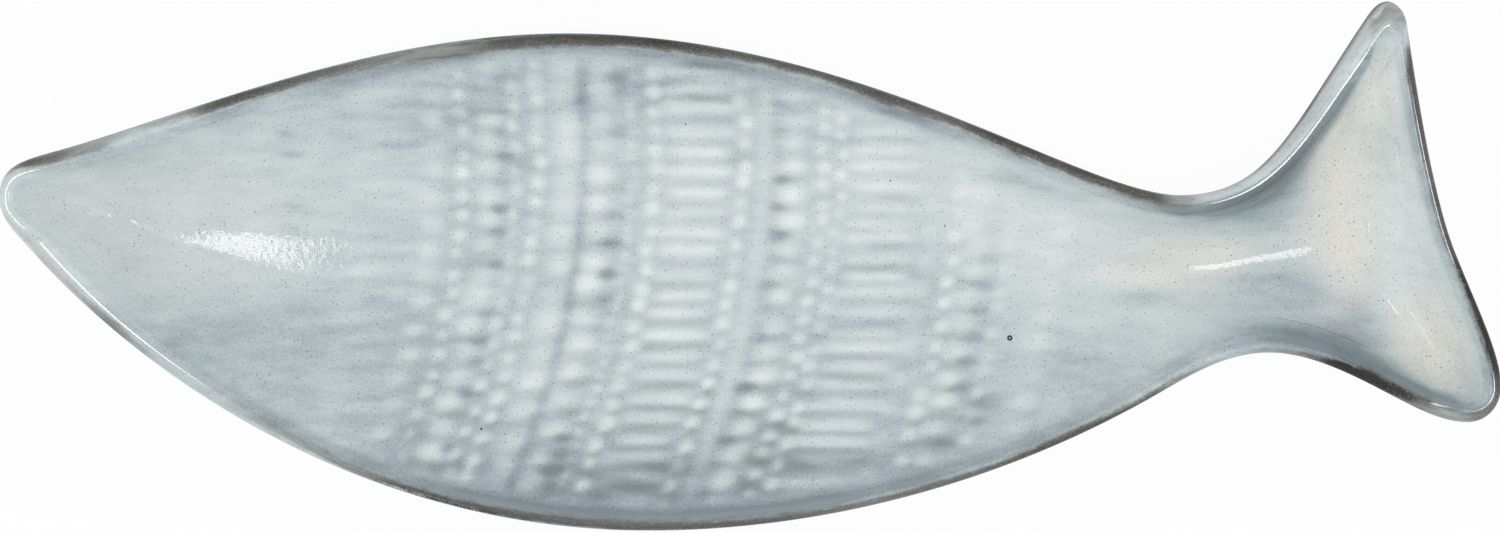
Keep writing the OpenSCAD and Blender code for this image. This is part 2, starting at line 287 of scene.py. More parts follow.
def rise(p):
    return dishForm["endRise"] * np.abs(2 * p[:, 0] / dishForm["length"]) ** dishForm["risePower"]


crest = rimHeight + rise(rim)
depth = dishForm["wellDepth"] * (1 - np.exp(-((clear - dishForm["lipWidth"]) / dishForm["depthReach"]) ** 2))
floorTop = rimHeight - depth
floorUnder = dishForm["footHeight"] + np.maximum(
    0, floorTop - dishForm["floorThickness"] - dishForm["footHeight"] - dishForm["flatSlack"]
)
lipTurn = np.arctan2(dishForm["wellPower"] * (crest - floorTop[stations]), reach - lipCentre)


def lipTurnTo(angle):
    # across and down on a quarter of the lip's round, a little flatter on the crest than a circle
    power = 2 / dishForm["lipPower"]
    across, up = np.sin(angle), np.cos(angle)
    return np.abs(across) ** power, np.sign(up) * np.abs(up) ** power


def lipOutside(angle):
    fall = clayLip + np.maximum(0, lean) * dishForm["leanFall"]
    across, up = lipTurnTo(angle)
    return np.stack((lipCentre - (lipCentre - dishForm["glaze"]) * across, crest - fall * (1 - up)))


def lipInside(share):
    # the round ends at the slope of the well's curve
    power = 2 - 2 / dishForm["lipPower"]
    across, up = lipTurnTo(np.arctan(np.tan(lipTurn) ** (1 / power)) * share)
    return np.stack((lipCentre + clayLip * across, crest - clayLip * (1 - up)))


def wallCurve(t):
    a, under = lipOutside(math.radians(dishForm["lipSweep"])), floorUnder[stations]
    return np.stack((
        mix(a[0], dishForm["soleShare"] * reach, t),
        under + (a[1] - under) * (1 - t) ** dishForm["wallPower"],
    ))


def wellCurve(t):
    a, low = lipInside(1), floorTop[stations]
    return np.stack((mix(a[0], reach, t), low + (a[1] - low) * (1 - t) ** dishForm["wellPower"]))


# rings of the section from the sole over the lip to the spine, and where the coats of glaze meet
ringCounts = {"wall": 20, "lipOutside": 16, "lipInside": 8, "rimEnd": 5, "well": 75}


def drawRings():
    rimEnd = np.minimum(dishForm["rimReach"] / (reach - lipInside(1)[0]), dishForm["rimLimit"])
    n, sweep = ringCounts, dishForm["lipSweep"]
    rings = [wallCurve(1 - k / n["wall"]) for k in range(n["wall"])]
    rings += [lipOutside(math.radians(sweep * (1 - k / n["lipOutside"]))) for k in range(n["lipOutside"])]
    rings += [lipInside(k / n["lipInside"]) for k in range(n["lipInside"])]
    rings += [wellCurve(rimEnd * k / n["rimEnd"]) for k in range(n["rimEnd"])]
    rings += [wellCurve(mix(rimEnd, 1, k / n["well"])) for k in range(n["well"] + 1)]
    return np.array(rings)


rings = drawRings()
rimLow = ringCounts["wall"]
crestRing = rimLow + ringCounts["lipOutside"]
rimHigh = crestRing + ringCounts["lipInside"] + ringCounts["rimEnd"]


def ringNormals():
    ahead = np.concatenate((rings[1:], rings[-1:] * 2 - rings[-2:-1]))
    behind = np.concatenate((rings[:1] * 2 - rings[1:2], rings[:-1]))
    way = ahead - behind
    way[-1, 1] = 0
    way[0, 1] = 0
    way[0, 0] = -1
    return np.stack((-way[:, 1], way[:, 0]), 1) / np.linalg.norm(way, axis=1)[:, None]


normals = ringNormals()
# distance over the lip from the crest, outside below zero
edgeStep = np.linalg.norm(np.diff(rings, axis=0), axis=1)
edgeWay = np.concatenate((np.zeros((1, count)), np.cumsum(edgeStep, 0)))
edgeWay -= edgeWay[crestRing]


def drawTurn():
    # way round the rim, bent to a circle so that it has no seam
    step = np.linalg.norm(np.roll(rim, -1, 0) - rim, axis=1)
    way = np.concatenate(((0,), np.cumsum(step)[:-1]))
    angle, radius = 2 * np.pi * way / step.sum(), step.sum() / (2 * np.pi)
    return radius * np.cos(angle), radius * np.sin(angle)


turnX, turnY = drawTurn()


def ringPoints(j, cover):
    # one ring in space at some cover over the clay
    d, z = rings[j] + normals[j] * cover
    flat = rim + (spine[stations] - rim) * (d / reach)[:, None]
    return np.concatenate((flat, z[:, None]), 1)


print("dish drawn:", count, "points round,", len(rings), "rings")


def select(piece):
    bpy.ops.object.select_all(action="DESELECT")
    bpy.context.view_layer.objects.active = piece
    piece.select_set(True)


# points closer than the weld are one, edges sharper than the crease stay sharp
loftForm = {"weld": 1e-7, "crease": 50}


def loft(name, rows, fields, wrap=True):
    # a grid whose rows become closed rings, with fields of values stored on its points
    rows = np.array(rows)
    if wrap:
        rows = np.concatenate((rows, rows[:, :1]), 1)
        fields = {key: np.concatenate((np.array(f), np.array(f)[:, :1]), 1) for key, f in fields.items()}
    bpy.ops.object.select_all(action="DESELECT")
    bpy.ops.mesh.primitive_grid_add(x_subdivisions=rows.shape[1] - 1, y_subdivisions=rows.shape[0] - 1, size=1)
    piece = bpy.context.active_object
    piece.name = piece.data.name = name
    mesh = piece.data
    mesh.vertices.foreach_set("co", rows.reshape(-1))
    for key, field in fields.items():
        mesh.attributes.new(key, "FLOAT", "POINT").data.foreach_set("value", np.array(field, float).reshape(-1))
    mesh.update()
    bpy.ops.object.mode_set(mode="EDIT")
    bpy.ops.mesh.select_all(action="SELECT")
    bpy.ops.mesh.remove_doubles(threshold=loftForm["weld"])
    bpy.ops.mesh.normals_make_consistent(inside=False)
    bpy.ops.object.mode_set(mode="OBJECT")
    bpy.ops.object.shade_smooth_by_angle(angle=math.radians(loftForm["crease"]))
    print(name, "lofted:", len(mesh.polygons), "faces")
    return piece


# pressed ornament across the body: place along the body in mm, half length and half height of one
# mark, pitch down the band, lift, shift of the first mark along the band
pressedBands = [
    (-110.4, 3.2, 1.5, 5.8, -0.55, 0.0), (-100.0, 9.0, 1.6, 6.2, 0.22, 2.0), (-88.0, 8.0, 1.5, 5.6, 0.25, 4.0),
    (-77.3, 2.9, 2.2, 6.5, 0.55, 1.0), (-70.3, 1.5, 1.5, 5.0, 0.75, 3.0), (-63.6, 3.0, 2.3, 6.5, 0.8, 0.5),
    (-60.6, 2.4, 1.3, 6.5, -0.75, 3.9), (-57.4, 1.4, 1.5, 5.4, 0.6, 2.0), (-52.3, 1.6, 1.7, 4.95, 0.85, 0.0),
    (-45.1, 3.6, 3.0, 7.2, 0.6, 2.5), (-41.0, 1.5, 90.0, 180.0, -0.3, 0.0), (-36.5, 3.0, 2.4, 7.0, 0.85, 1.5),
    (-32.9, 2.6, 1.3, 7.0, -0.75, 4.6), (-29.3, 1.2, 1.1, 3.4, 0.35, 1.0), (-23.8, 1.7, 1.7, 4.92, 1.0, 2.2),
    (-13.2, 7.6, 1.5, 5.14, 0.75, 2.4), (-2.2, 1.6, 1.6, 5.04, 0.95, 0.6), (3.0, 2.0, 90.0, 180.0, 0.25, 0.0),
    (7.2, 2.4, 1.2, 6.5, -0.75, 3.4), (10.3, 3.0, 2.2, 6.5, 0.85, 0.2), (17.3, 1.6, 1.5, 4.8, 0.75, 1.2),
    (21.8, 1.5, 1.5, 4.8, 0.7, 3.4), (32.9, 8.6, 1.4, 4.6, 0.6, 1.6), (44.4, 2.4, 2.4, 7.4, 0.3, 0.0),
    (50.9, 1.7, 1.6, 5.5, 0.9, 2.0), (56.4, 2.9, 2.0, 6.5, 0.95, 0.4), (60.0, 2.6, 1.3, 6.5, -0.7, 3.6),
    (64.4, 1.8, 1.6, 5.2, 0.6, 1.0), (76.0, 2.8, 2.0, 6.8, 0.6, 3.0),
]
# the bands hang straight from the back and bow toward the nose below it; marks wander, vary in size and
# strength, and are beads, bars when long, or plain stripes when high; the press fades at the ends and the back
bandForm = {
    "bow": 0.206, "apex": 0.030, "raise": 0.00012, "drip": 0.0016,
    "wander": 0.45, "sideWander": 0.8, "size": (0.85, 1.15), "raised": (0.5, 1.2), "sunk": (0.0, 1.1),
    "top": -30, "bottom": 100, "near": 2.4, "barOver": 5, "stripeOver": 50, "ground": -0.18, "gain": 1.3,
    "barPower": 5, "beadPower": 1.1, "stripePower": 2.4,
    "noseFade": (-122, -70), "tailFade": (30, 96), "tailLoss": 0.62, "backFade": (0.030, 0.050), "backLoss": 0.15,
    "waistAlong": (30, 52), "waistAcross": (-0.004, 0.016), "waistLoss": 0.55,
}


def bandPlace(x, y):
    # along the body and down the band, in mm
    bow, fall = bandForm["bow"], np.maximum(bandForm["apex"] - y, 0)
    along = x + bow - np.sqrt(bow * bow - fall * fall)
    down = np.where(y > bandForm["apex"], bandForm["apex"] - y, bow * np.arcsin(fall / bow))
    return along * 1000, down * 1000


def pressRelief(x, y):
    # sum of all marks at the given places, from about -1 to 1
    form = bandForm
    along, down = bandPlace(x, y)
    hand = np.random.default_rng(5)
    relief = np.full(x.shape, form["ground"])
    for place, halfLong, halfHigh, pitch, lift, first in pressedBands:
        near = np.abs(along - place) < form["near"] * halfLong + 2
        a, d = along[near], down[near]
        total = np.zeros(a.shape)
        for k in range(int(form["top"] / pitch) - 1, int(form["bottom"] / pitch) + 2):
            middle = first + k * pitch + hand.normal(0, form["wander"])
            side = place + hand.normal(0, form["wander"] * form["sideWander"])
            size = hand.uniform(*form["size"])
            strength = hand.uniform(*form["raised"]) if lift > 0 else hand.uniform(*form["sunk"])
            if halfHigh > form["stripeOver"]:
                total = lift * np.exp(-np.abs((a - place) / halfLong) ** form["stripePower"])
                break
            long = np.abs((a - side) / (halfLong * size))
            high = np.abs((d - middle) / (halfHigh * size))
            if halfLong > form["barOver"]:
                total += lift * strength * np.exp(-long ** form["barPower"] - high ** 2)
            else:
                total += lift * strength * np.exp(-(long ** 2 + high ** 2) ** form["beadPower"])
        relief[near] += total
    fade = soften(along, *form["noseFade"]) * (1 - form["tailLoss"] * soften(along, *form["tailFade"]))
    waistFade = soften(along, *form["waistAlong"]) * soften(y, *form["waistAcross"])
    fade *= 1 - form["backLoss"] * soften(y, *form["backFade"]) - form["waistLoss"] * waistFade
    # pressed a little unevenly by hand
    fade *= 0.85 + 0.15 * np.sin(along / 11 + 1.1) * np.sin(down / 9 + 0.6)
    return np.tanh(form["gain"] * relief) * fade


# soft patches where the glaze lies thicker or thinner, two of them (at 158 and 168 mm) painted light on the
# tail's
# right inner wall, which faces the light: place and half size in mm, change of thickness, of cream
glazeAndLightPatches = [
    (-140, 8, 36, 22, -0.06, 0.25), (-165, 14, 16, 14, -0.16, 0), (-132, -17, 26, 9, 0.16, 0),
    (-88, 18, 16, 10, -0.07, 0), (-100, -22, 30, 14, 0.09, 0), (-45, 46, 70, 12, 0.10, 0),
    (40, 22, 60, 18, -0.13, 0.05), (60, 11, 18, 9, -0.06, 0), (-20, -64, 110, 21, 0.38, 0),
    (66, 8, 26, 14, -0.12, 0), (84, 0, 22, 12, -0.12, 0.1), (76, -17, 16, 8, -0.07, 0),
    (110, 1, 16, 7, -0.16, 0.7), (96, -3.6, 9, 2.2, -0.05, 0.6), (105, -15, 14, 6, -0.14, 0),
    (112, 16, 9, 8, 0.12, -0.2), (141, 26, 8.5, 26, -0.14, 0.95), (165, -20, 9.5, 13, -0.18, 0.85),
    # the patches at 158 and 168 mm are painted light on the tail's right inner wall
    (145, 0, 6.5, 12, -0.14, 0.7), (158, 6, 9, 34, -0.36, 0), (168, -20, 8, 14, -0.18, 0),
    (130, -18, 20, 4, 0.24, 0), (132, -5, 12, 4, 0.12, -0.4), (152, 47, 7, 11, -0.36, 0.3),
    (-149, 5, 6, 5, 0.1, 0),
]
# short streaks where it ran together: place, half length and half height in mm, fall toward the
# tail in degrees, change of thickness, of the dark green
glazeStreaks = [
    (159, -25, 16, 5, 36, 0.26, 0), (146, -12.5, 10, 4, 27, 0.12, 0), (-154, 26, 10, 3.5, -12, 0.15, 0),
    (-111.6, 26.7, 3.4, 0.8, 0, 0.30, 0), (-113, 32, 2.0, 0.8, 0, 0.18, 0), (-111.6, 14, 3.4, 1, 0, 0.22, 0),
    (-96, 13.7, 3, 1, 0, 0.12, 0), (-112.4, 8, 3, 0.8, 0, 0.15, 0), (-109, 38.6, 5.4, 0.8, -6, 0.12, 0),
    (-88.7, 29, 7, 0.8, -3, 0.14, 0), (-64.3, 43.2, 4.4, 1, 0, 0.25, 0), (-64.3, 37.3, 5.3, 1, 0, 0.30, 0),
    (-75.7, 34.8, 4.9, 1, -5, 0.20, 0), (-44, 39.7, 7.3, 1, -8, 0.18, 0), (-13.4, 48.9, 6.8, 0.5, 2, 0.22, 0),
    (-21.7, 44.3, 6, 1, -3, 0.30, 0), (-11.5, 40.6, 11, 0.9, 3, 0.32, 0), (-36, 42, 6, 1, -4, 0.20, 0),
    (-24.4, 39.2, 3, 1.2, 0, 0.25, 0), (10.3, 37.2, 4.4, 1, 0, 0.32, 0), (9, 43.3, 10, 0.8, 2, 0.20, 0),
    (24, 30.4, 3.4, 1, 4, 0.22, 0), (8, 31.1, 6.8, 0.8, 0, 0.12, 0), (9, 12.8, 3, 1.2, 0, 0.20, 0),
    (7.3, 6.6, 2.5, 1.2, 0, 0.20, 0), (12.7, 0.1, 6, 1, 0, 0.18, 0), (-47, -46.4, 4.4, 1.2, 6, 0.22, 0.55),
    (-50, -53.4, 5.4, 1.2, 8, 0.20, 0.3), (-22.7, -49, 8.5, 1, 6, 0.20, 0.6),
    (-28.8, -53.2, 11.7, 1.1, 10, 0.20, 0.65), (-37.4, -55.8, 3, 1.2, 5, 0.20, 0.3),
    (-81, -41.4, 7.3, 1, 5, 0.20, 0.15), (-82.8, -47, 7.3, 1, 6, 0.20, 0.2), (-70.4, -31, 2.2, 1.5, 0, 0.20, 0),
    (-71.6, -37, 3, 0.8, 0, 0.15, 0), (-70.8, -48.7, 2, 2, 0, 0.14, 0), (-64.3, -48.7, 2, 2, 0, 0.14, 0),
    (9.3, -32.8, 7.3, 1, 0, 0.15, 0), (5.6, -40.2, 5.9, 1.2, 5, 0.20, 0.25),
    (0.7, -47.3, 3.7, 1.2, 12, 0.20, 0.6), (9.8, -48, 4.9, 1, 4, 0.20, 0.45),
    (23.5, -47.6, 8.3, 0.8, 0, 0.18, 0.3), (-1.7, -52.8, 3.4, 1.2, 20, 0.20, 0.6),
    (54, -37.8, 3, 0.8, 0, 0.12, 0.5), (43.5, -43.1, 4.9, 0.8, 0, 0.15, 0.2), (62, 22, 9, 1.6, 8, 0.28, 0),
    (74, 17.6, 10, 1.6, 14, 0.22, 0), (60, 30, 8, 1.2, 18, 0.2, 0), (95, 1.2, 8, 1.4, 0, 0.2, 0),
    (96.6, -8.8, 6.6, 1.8, 0, 0.3, 0), (103, 13, 9, 3, 6, 0.2, 0), (78.6, -1, 4, 1.2, 0, 0.16, 0),
    (76, -17.4, 4, 1.6, 0, 0.16, 0), (80, -23.6, 8, 1.6, 4, 0.2, 0), (77, -27, 5, 1.2, 0, 0.16, 0),
    (122, -3.6, 15, 1.3, -4, 0.16, 0), (147, -11.4, 4, 2.2, 0, 0.22, 0), (56, -33.6, 4.4, 1.6, 4, 0.22, 0.15),
    (54, -5, 5, 1.3, 4, 0.22, 0), (52, 5, 4, 1.2, 0, 0.18, 0), (57, 9.6, 4, 1.2, 0, 0.16, 0),
    (50, -16, 5, 1.3, 3, 0.2, 0), (34, 16, 8, 1, 4, 0.2, 0), (32, 10.4, 9, 1, 3, 0.2, 0),
    (33, 4.6, 9, 1, 3, 0.2, 0), (31, -1.6, 9, 1, 3, 0.2, 0), (33, 31.6, 9, 1, 6, 0.2, 0),
    (30, 38, 10, 1, 8, 0.2, 0), (34, 25.6, 8, 1, 5, 0.18, 0),
]
# all of them are laid wider and thinner than listed
streakForm = {"widen": 1.4, "weight": 0.75}


def layGlazeAndLight(x, y):
    thick, cream, green = np.zeros(x.shape), np.zeros(x.shape), np.zeros(x.shape)
    for cx, cy, rx, ry, more, warm in glazeAndLightPatches:
        spread = np.exp(-((x * 1000 - cx) / rx) ** 2 - ((y * 1000 - cy) / ry) ** 2)
        thick += more * spread
        cream += warm * spread
    for cx, cy, halfLong, halfHigh, fall, more, dark in glazeStreaks:
        turn, ex, ey = math.radians(fall), x * 1000 - cx, y * 1000 - cy
        along = ex * math.cos(turn) - ey * math.sin(turn)
        across = ex * math.sin(turn) + ey * math.cos(turn)
        spread = np.exp(-(along / halfLong) ** 2 - (across / (streakForm["widen"] * halfHigh)) ** 2)
        thick += streakForm["weight"] * more * spread
        green += dark * spread
    return thick, np.clip(cream, 0, 1), green


# widest part of the lip in degrees from the crest, and how far round it reaches
brimForm = {"angle": 92, "spread": 34}


def brimShare(j):
    # nearness of a ring to the widest part of the lip
    share = (crestRing - j) / ringCounts["lipOutside"]
    return math.exp(-((share * dishForm["lipSweep"] - brimForm["angle"]) / brimForm["spread"]) ** 2)


# where the values of a coat set in and end, in metres inward from the crest; the pool, partly painted shade, ends
# at a share of the way to the spine and starts in mm
coatForm = {
    "reliefIn": (0.002, 0.007), "creamIn": (0.003, 0.009), "dullOut": (0.0025, 0.005),
    "poolAndShadeIn": (-0.0008, 0.0006), "poolAndShadeOut": (0.5, 0.95), "poolAndShadeStart": 0.3, "poolAndShadePower": 1.5,
    "streak": 0.8, "streakIn": (0.0, 0.045),
}


def coatFields(points, picked, columns=slice(None)):
    # values on the points of a coat: way over the lip in mm and round the rim, how dark the brim is (iron and a
    # painted dark reflection), burn with where it starts and ends, dullness, relief, streak, thickness with
    # painted light and shade, cream
    form, points = coatForm, np.array(points)
    x, y = points[:, :, 0], points[:, :, 1]
    thick, cream, green = layGlazeAndLight(x, y)
    inside = np.array([edgeWay[j][columns] for j in picked])
    line, burn, start, fade, poolAndShade, width, dull = (
        np.array([finish[columns, n] for j in picked]) for n in range(finish.shape[1])
    )
    # dark brim: iron where the glaze runs thin, and partly a painted dark reflection at the grazing edge
    brim = line * np.array([brimShare(j) for j in picked])[:, None]
    within = soften(inside, *form["reliefIn"])
    # the glaze pool under the lip, partly painted shade on the wall there, thins out before the middle of the
    # floor
    middle = np.clip((np.array(picked, float) - rimHigh) / ringCounts["well"], 0, 1)[:, None]
    poolAndShade = poolAndShade * soften(inside, *form["poolAndShadeIn"]) * (1 - soften(middle, *form["poolAndShadeOut"]))
    poolAndShade = poolAndShade * np.exp(-(np.maximum(inside * 1000 - form["poolAndShadeStart"], 0) / width) ** form["poolAndShadePower"])
    relief = pressRelief(x, y) * within
    # the glaze gathers under each mark toward the belly
    above = pressRelief(x, y + bandForm["drip"]) * within
    gathered = form["streak"] * np.clip(above - relief, 0, 1) * soften(-y, *form["streakIn"])
    return {
        "edge": inside * 1000,
        "turnX": np.array([turnX[columns] for j in picked]),
        "turnY": np.array([turnY[columns] for j in picked]),
        "brim": brim,
        "burn": burn,
        "dull": dull * (1 - soften(inside, *form["dullOut"])),
        "start": start,
        "fade": fade,
        "relief": relief,
        "streak": np.clip(gathered + green * within, 0, 1),
        "thick": thick + poolAndShade,
        "cream": cream * soften(inside, *form["creamIn"]),
    }


# floor of the well in metres: a hollow behind the nose, a step up into the tail, where the marks set in (mm),
# and where its mesh is smoothed and in how many rounds
wellForm = {
    "hollow": 0.0004, "hollowAt": (-0.154, 0.008), "hollowHalf": (0.010, 0.011),
    "step": 0.0007, "stepUp": (0.119, 0.131), "stepDown": (0.145, 0.165), "stepHalf": 0.014,
    "pressIn": (4, 10), "calmIn": 0.2, "headCalm": (-0.135, -0.115), "tailCalm": (0.085, 0.115),
    "rounds": {"calm": 60, "calmHead": 150, "calmTail": 400}, "ringSkip": 4,
}


def unevenFloor(points):
    # the floor lies a little lower just behind the nose and steps up a little into the tail
    form, x, y = wellForm, points[:, 0], points[:, 1]
    (cx, cy), (rx, ry) = form["hollowAt"], form["hollowHalf"]
    points[:, 2] -= form["hollow"] * np.exp(-((x - cx) / rx) ** 2 - ((y - cy) / ry) ** 2)
    step = form["step"] * soften(x, *form["stepUp"]) * (1 - soften(x, *form["stepDown"]))
    points[:, 2] += step * np.exp(-(y / form["stepHalf"]) ** 2)
    return points


def makeWellGlaze():
    form = wellForm
    under = list(range(len(rings) - 1, rimHigh, -form["ringSkip"])) + [rimHigh]
    top = list(range(rimHigh, len(rings)))
    picked = under + top
    rows = [ringPoints(j, 0) for j in under] + [unevenFloor(ringPoints(j, dishForm["glaze"])) for j in top]
    fields = coatFields(rows, picked)
    along = np.array(rows)[:, :, 0]
    calm = soften(np.array(picked, float) - rimHigh, 1, form["calmIn"] * ringCounts["well"])[:, None]
    groups = {
        "calm": calm * np.ones(count),
        "calmHead": calm * (1 - soften(along, *form["headCalm"])),
        "calmTail": calm * soften(along, *form["tailCalm"]),
        "press": np.clip(fields["relief"] * 0.5 + 0.5, 0, 1) * soften(fields["edge"], *form["pressIn"]),
    }
    for values in groups.values():
        values[:len(under)] = 0
    piece = loft("wellGlaze", rows, fields | groups)
    select(piece)
    for key in groups:
        group = piece.vertex_groups.new(name=key)
        values = np.zeros(len(piece.data.vertices))
        piece.data.attributes[key].data.foreach_get("value", values)
        for n, value in enumerate(values):
            group.add([n], value, "REPLACE")
    # the floor is calmed where the rays of the loft meet, then the pressed marks stand up out of it
    for key, rounds in form["rounds"].items():
        calm = piece.modifiers.new(key, "SMOOTH")
        calm.vertex_group = key
        calm.factor, calm.iterations = 0.5, rounds
        calm.use_x = calm.use_y = False
        bpy.ops.object.modifier_apply(modifier=key)
    press = piece.modifiers.new("press", "DISPLACE")
    press.vertex_group = "press"
    press.mid_level = 0
    press.strength = bandForm["raise"]
    bpy.ops.object.modifier_apply(modifier="press")
    return piece


rimForm = {"ringSkip": 3}


def makeRimGlaze():
    top = list(range(rimLow, rimHigh + 1))
    under = list(range(rimHigh, rimLow, -rimForm["ringSkip"])) + [rimLow]
    rows = [ringPoints(j, dishForm["glaze"]) for j in top] + [ringPoints(j, 0) for j in under]
    rows.append(rows[0])
    return loft("rimGlaze", rows, coatFields(rows, top + under + [rimLow]))


outerForm = {"ringSkip": 5, "upperRows": (0, 0.5, 1), "lowerRows": (0, 0.12, 0.25, 0.4, 0.55, 0.7, 0.85, 1)}


def makeOuterGlaze():
    # down the outside of the wall to the edge of the sole, and across the underside of the tail
    form = outerForm
    top = list(range(0, rimLow + 1))
    under = list(range(rimLow, 0, -form["ringSkip"])) + [0]
    rows = [ringPoints(j, dishForm["glaze"]) for j in top] + [ringPoints(j, 0) for j in under]
    rows.append(rows[0])
    wall = loft("outerGlaze", rows, coatFields(rows, top + under + [0]))
    picked = np.r_[waistTop, waistTop:waistBottom + 1, waistBottom]
    cover = np.full((len(picked), 1), dishForm["glaze"])
    cover[0] = cover[-1] = 0
    lower, upper = (ringPoints(0, c)[picked] for c in (dishForm["glaze"], 0))
    lower = np.where(cover > 0, lower, upper)
    middle = np.concatenate((spine[stations[picked]], floorUnder[stations[picked]][:, None]), 1)
    sunk = middle - cover * (0, 0, 1)
    rows = [mix(middle, upper, share) for share in form["upperRows"]]
    rows += [mix(lower, sunk, share) for share in form["lowerRows"]]
    tail = loft("outerGlazeTail", rows, coatFields(rows, [0] * len(rows), picked), wrap=False)
    select(wall)
    tail.select_set(True)
    bpy.ops.object.join()
    return wall


# clay under the coats, a hair inside them; only its sole shows, so it is drawn coarser
clayForm = {"inset": 0.00002, "soleRows": (0, 0.2, 0.4, 0.6, 0.8), "ringSkip": 4, "columnSkip": 2}


def makeClay():
    form = clayForm
    picked = list(range(0, len(rings), form["ringSkip"]))
    if picked[-1] != len(rings) - 1:
        picked.append(len(rings) - 1)
    low = np.concatenate((spine[stations], floorUnder[stations][:, None]), 1)
    sole = ringPoints(0, 0)
    rows = [mix(low, sole, share) for share in form["soleRows"]]
    rows += [ringPoints(j, -form["inset"]) for j in picked]
    rows = [row[::form["columnSkip"]] for row in rows]
    return loft("stonewareClay", rows, {})


# oval strip under the body, between two shares of its length
footForm = {
    "strip": 0.005, "round": 0.0011, "roundSteps": 7, "margin": 0.003,
    "start": 0.22, "end": 0.83, "fullness": 2.3, "steps": 360,
}


def makeFoot():
    form = footForm
    turn = 2 * np.pi * np.arange(form["steps"]) / form["steps"]
    powered = lambda v: np.sign(v) * np.abs(v) ** (2 / form["fullness"])
    along = mix(form["start"], form["end"], (1 - powered(np.cos(turn))) / 2) * waist
    low = np.minimum(np.floor(along).astype(int), waist - 1)
    part = (along - low)[:, None]
    edge = mix(rim[bodyTop + low], rim[bodyTop + low + 1], part)
    middle = mix(spine[low], spine[low + 1], part)
    side = edge - middle
    length = np.linalg.norm(side, axis=1)
    half = (1 - dishForm["soleShare"]) * length - form["strip"] / 2 - form["margin"]
    path = middle + side / length[:, None] * (half * powered(np.sin(turn)))[:, None]
    way = np.roll(path, -1, 0) - np.roll(path, 1, 0)
    across = np.stack((-way[:, 1], way[:, 0]), 1) / np.linalg.norm(way, axis=1)[:, None]
    edge, height, bend = form["strip"] / 2, dishForm["footHeight"], form["round"]
    profile = [(edge, height), (edge, mix(height, bend, 0.5))]
    for a in np.linspace(0, np.pi / 2, form["roundSteps"]):
        profile.append((edge - bend * (1 - math.cos(a)), bend * (1 - math.sin(a))))
    corner = len(profile) - 1
    profile += [(share * (edge - bend), 0) for share in (0.5, 0, -0.5)]
    profile += [(-x, z) for x, z in profile[corner::-1]]
    rows = [np.concatenate((path + across * x, np.full((len(path), 1), z)), 1) for x, z in profile]
    rows.append(rows[0])
    return loft("footRing", rows, {})


wellGlaze = makeWellGlaze()
rimGlaze = makeRimGlaze()
outerGlaze = makeOuterGlaze()
stonewareClay = makeClay()
footRing = makeFoot()


class Wire:
    # one socket of a material; sums and products of wires add the nodes that work them out
    def __init__(self, tree, socket=None):
        self.tree, self.socket = tree, socket

    def node(self, kind, settings=None, inputs=None, output=0):
        made = self.tree.nodes.new(kind)
        for key, value in (settings or {}).items():
            if key == "stops":
                ramp = made.color_ramp
                while len(ramp.elements) < len(value):
                    ramp.elements.new(1)
                for stop, (place, colour) in zip(ramp.elements, value):
                    stop.position, stop.color = place, colour
            else:
                setattr(made, key, value)
        for key, value in (inputs or {}).items():
            if isinstance(value, Wire):
                self.tree.links.new(value.socket, made.inputs[key])
            else:
                made.inputs[key].default_value = value
        return Wire(self.tree, made.outputs[output] if len(made.outputs) else None)

    def maths(self, operation, a, b=0.0, clamp=False):
        return self.node("ShaderNodeMath", {"operation": operation, "use_clamp": clamp}, {0: a, 1: b})

    def __add__(self, other):
        return self.maths("ADD", self, other)

    __radd__ = __add__

    def __sub__(self, other):
        return self.maths("SUBTRACT", self, other)

    def __rsub__(self, other):
        return self.maths("SUBTRACT", other, self)

    def __mul__(self, other):
        return self.maths("MULTIPLY", self, other)

    __rmul__ = __mul__

    def ramp(self, low, high):
        # 0 below low to 1 above high, eased
        return self.node(
            "ShaderNodeMapRange", {"interpolation_type": "SMOOTHSTEP"},
            {"Value": self, "From Min": low, "From Max": high},
        )

    def blend(self, mask, below, above):
        return self.node("ShaderNodeMix", {"data_type": "RGBA"}, {0: mask, 6: below, 7: above}, 2)


def colour(red, green, blue):
    # from the 0 to 255 steps of a colour picker
    parts = [((v / 255 + 0.055) / 1.055) ** 2.4 if v > 10 else v / 3294.6 for v in (red, green, blue)]
    return (*parts, 1)


def startMaterial(name):
    material = bpy.data.materials.new(name)
    material.use_nodes = True
    material.node_tree.nodes.clear()
    return material, Wire(material.node_tree)


def noise(wire, spot, scale, detail=2.0, rough=0.5):
    return wire.node("ShaderNodeTexNoise", {}, {
        "Vector": spot, "Scale": scale, "Detail": detail, "Roughness": rough,
    })


def bump(wire, height, distance):
    return wire.node("ShaderNodeBump", {}, {"Strength": 1.0, "Distance": distance, "Height": height}, "Normal")


